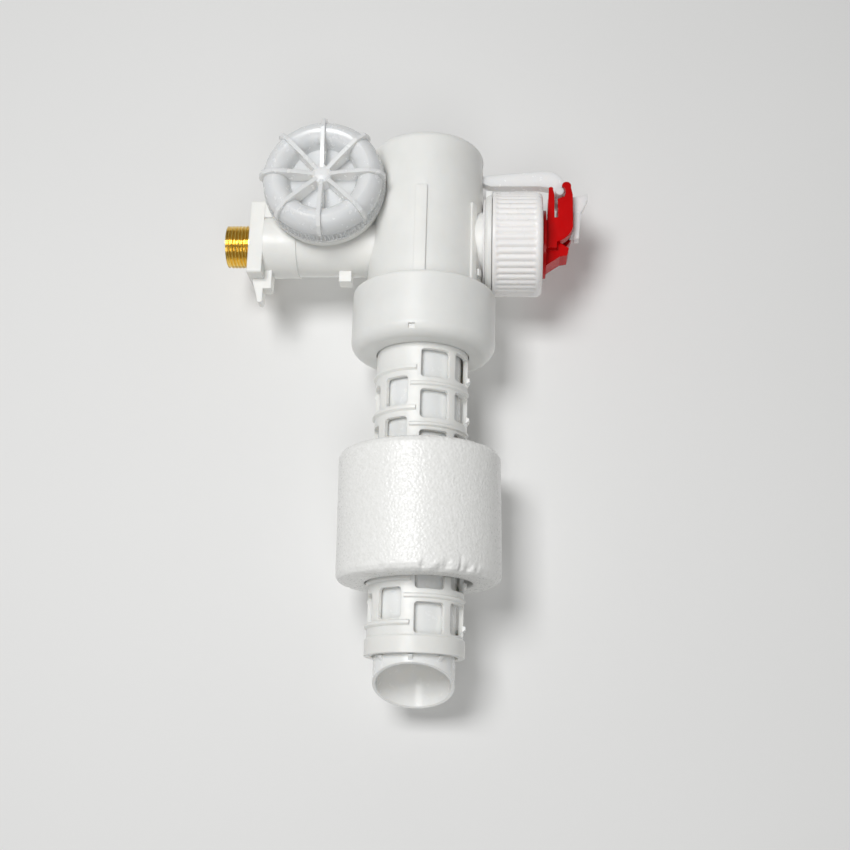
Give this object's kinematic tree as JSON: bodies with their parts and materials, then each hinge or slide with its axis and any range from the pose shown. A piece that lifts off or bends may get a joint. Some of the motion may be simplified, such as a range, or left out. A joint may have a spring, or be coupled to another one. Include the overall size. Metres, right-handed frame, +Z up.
{
  "type": "float valve",
  "caption": "Side-inlet cistern float valve with a stop wheel, a union nut with a red pilot cover and a foam float on a windowed carriage.",
  "frame": {"origin": "inlet axis at the outer face of the inlet flange", "axes": "+X into the valve, +Z up along the riser, -Y to the front where the stop wheel faces"},
  "size_m": [0.141, 0.0616, 0.2168],
  "materials": {
    "moulding": "satin",
    "clear_moulding": "semi-clear gloss",
    "nut_moulding": "satin, milky",
    "red_moulding": "gloss",
    "foam": "beaded foam",
    "brass": "satin, turned",
    "seal_rubber": "matt"
  },
  "bodies": {
    "valve": {"valve_body": "moulding", "guide_skirt": "moulding", "riser_tube": "moulding", "retaining_clip": "moulding", "port_housing": "moulding", "inlet_strainer": "moulding", "flow_limiter": "moulding", "spindle_gland": "moulding", "wheel_clip_ring": "moulding", "union_nut": "nut_moulding", "pilot_cover": "red_moulding", "port_lock_ring": "nut_moulding", "pilot_jet": "red_moulding", "inlet_nipple": "brass", "metering_pin": "brass", "riser_seal": "seal_rubber", "nipple_seal": "seal_rubber", "gland_seal": "seal_rubber", "main_diaphragm": "seal_rubber"},
    "carriage": {"float_carriage": "moulding"},
    "float": {"foam_float": "foam"},
    "arm": {"pilot_arm": "clear_moulding", "pilot_pad": "seal_rubber"},
    "wheel": {"stop_wheel": "clear_moulding"},
    "throttle": {"throttle_plug": "moulding", "throttle_seal": "seal_rubber"},
    "piston": {"diaphragm_piston": "moulding"}
  },
  "joints": [
    {"name": "carriage_lift", "type": "slide", "parent": "valve", "child": "carriage", "axis": [0, 0, 1], "range_m": [0, 0.006]},
    {"name": "float_height", "type": "slide", "parent": "carriage", "child": "float", "axis": [0, 0, 1], "range_m": [-0.01, 0.025]},
    {"name": "arm_swing", "type": "hinge", "parent": "valve", "child": "arm", "pos_m": [0.12, 0, 0.0205], "axis": [0, 1, 0], "range_deg": [0, 6.65]},
    {"name": "wheel_turn", "type": "hinge", "parent": "valve", "child": "wheel", "pos_m": [0.0299, -0.02, 0.0172], "axis": [0, 1, 0], "range_deg": [0, 270]},
    {"name": "throttle_travel", "type": "slide", "parent": "valve", "child": "throttle", "axis": [0, 1, 0], "range_m": [0, 0.0041]},
    {"name": "piston_travel", "type": "slide", "parent": "valve", "child": "piston", "axis": [-1, 0, 0], "range_m": [0, 0.0016]}
  ],
  "couplings": [
    {"joint": "arm_swing", "follows": "carriage_lift", "rad_per_m": 19.27},
    {"joint": "piston_travel", "follows": "carriage_lift", "ratio": 0.25},
    {"joint": "throttle_travel", "follows": "wheel_turn", "m_per_rad": 0.00085}
  ]
}
